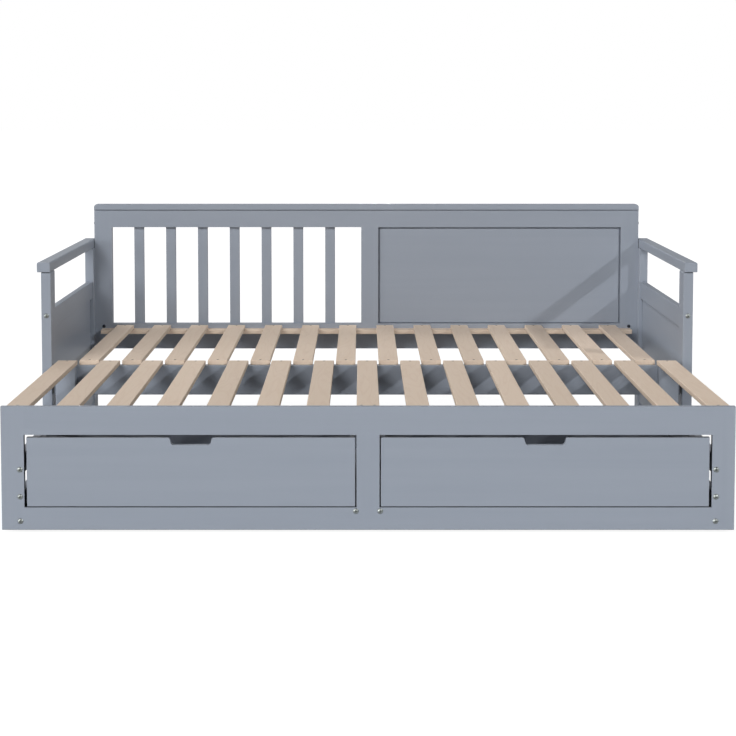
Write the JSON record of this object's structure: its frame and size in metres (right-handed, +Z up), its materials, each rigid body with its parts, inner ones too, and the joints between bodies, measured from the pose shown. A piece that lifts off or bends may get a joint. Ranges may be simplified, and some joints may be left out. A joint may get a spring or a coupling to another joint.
{
  "type": "trundle daybed",
  "caption": "Painted wooden daybed with slatted and panelled back, arms, and a pull-out slatted trundle frame that holds drawers.",
  "frame": {"origin": "middle of the footprint on the floor, with the trundle pulled out", "axes": "+Z up, -Y is the front with the drawers, +X to the right seen from the front"},
  "size_m": [2.012, 1.9272, 0.763],
  "materials": {
    "painted_wood": "satin grey paint on wood",
    "slat_wood": "bare sanded pine",
    "drawer_board": "thin board with a grey finish",
    "steel": "zinc-plated bolt",
    "black_steel": "black oxide bolt",
    "plug": "grey cap",
    "black_plastic": "matte"
  },
  "bodies": {
    "daybed_frame": {"left_front_post": "painted_wood", "right_front_post": "painted_wood", "left_rear_post": "painted_wood", "right_rear_post": "painted_wood", "left_armrest": "painted_wood", "right_armrest": "painted_wood", "left_upper_rail": "painted_wood", "right_upper_rail": "painted_wood", "left_lower_rail": "painted_wood", "right_lower_rail": "painted_wood", "left_side_panel": "painted_wood", "right_side_panel": "painted_wood", "armrest_plugs": "plug", "post_glides": "black_plastic", "back_cap_rail": "painted_wood", "back_top_rail": "painted_wood", "back_bottom_rail": "painted_wood", "back_left_stile": "painted_wood", "back_center_stile": "painted_wood", "back_right_stile": "painted_wood", "back_spindles": "painted_wood", "back_infill_panel": "painted_wood", "rear_slat_ledger": "slat_wood", "fixed_slats": "slat_wood", "frame_bolts": "steel", "back_stile_bolts": "black_steel"},
    "trundle": {"front_top_rail": "painted_wood", "front_bottom_rail": "painted_wood", "front_left_stile": "painted_wood", "front_center_stile": "painted_wood", "front_right_stile": "painted_wood", "front_slat_cleat": "painted_wood", "pullout_slats": "slat_wood", "pullout_left_leg": "painted_wood", "pullout_right_leg": "painted_wood", "pullout_rear_rail": "painted_wood", "pullout_cross_rail": "painted_wood", "pullout_left_upper_rail": "painted_wood", "pullout_right_upper_rail": "painted_wood", "pullout_left_lower_rail": "painted_wood", "pullout_right_lower_rail": "painted_wood", "center_runners": "painted_wood", "left_drawer_runner": "painted_wood", "right_drawer_runner": "painted_wood", "front_panel_bolts": "steel", "wheel_axles": "steel"},
    "left_drawer": {"left_drawer_front": "painted_wood", "left_drawer_sides": "drawer_board", "left_drawer_back": "drawer_board", "left_drawer_bottom": "drawer_board"},
    "right_drawer": {"right_drawer_front": "painted_wood", "right_drawer_sides": "drawer_board", "right_drawer_back": "drawer_board", "right_drawer_bottom": "drawer_board"},
    "left_front_wheel": {"left_front_wheel": "black_plastic"},
    "left_rear_wheel": {"left_rear_wheel": "black_plastic"},
    "right_front_wheel": {"right_front_wheel": "black_plastic"},
    "right_rear_wheel": {"right_rear_wheel": "black_plastic"}
  },
  "joints": [
    {"name": "trundle_slide", "type": "slide", "parent": "daybed_frame", "child": "trundle", "axis": [0, 1, 0], "range_m": [0, 0.881]},
    {"name": "left_drawer_slide", "type": "slide", "parent": "trundle", "child": "left_drawer", "axis": [0, -1, 0], "range_m": [0, 0.4]},
    {"name": "right_drawer_slide", "type": "slide", "parent": "trundle", "child": "right_drawer", "axis": [0, -1, 0], "range_m": [0, 0.4]},
    {"name": "left_front_wheel_spin", "type": "hinge", "parent": "trundle", "child": "left_front_wheel", "pos_m": [-0.9338, -0.8825, 0.032], "axis": [1, 0, 0], "continuous": true},
    {"name": "left_rear_wheel_spin", "type": "hinge", "parent": "trundle", "child": "left_rear_wheel", "pos_m": [-0.9338, -0.1605, 0.032], "axis": [1, 0, 0], "continuous": true},
    {"name": "right_front_wheel_spin", "type": "hinge", "parent": "trundle", "child": "right_front_wheel", "pos_m": [0.9338, -0.8825, 0.032], "axis": [1, 0, 0], "continuous": true},
    {"name": "right_rear_wheel_spin", "type": "hinge", "parent": "trundle", "child": "right_rear_wheel", "pos_m": [0.9338, -0.1605, 0.032], "axis": [1, 0, 0], "continuous": true}
  ]
}
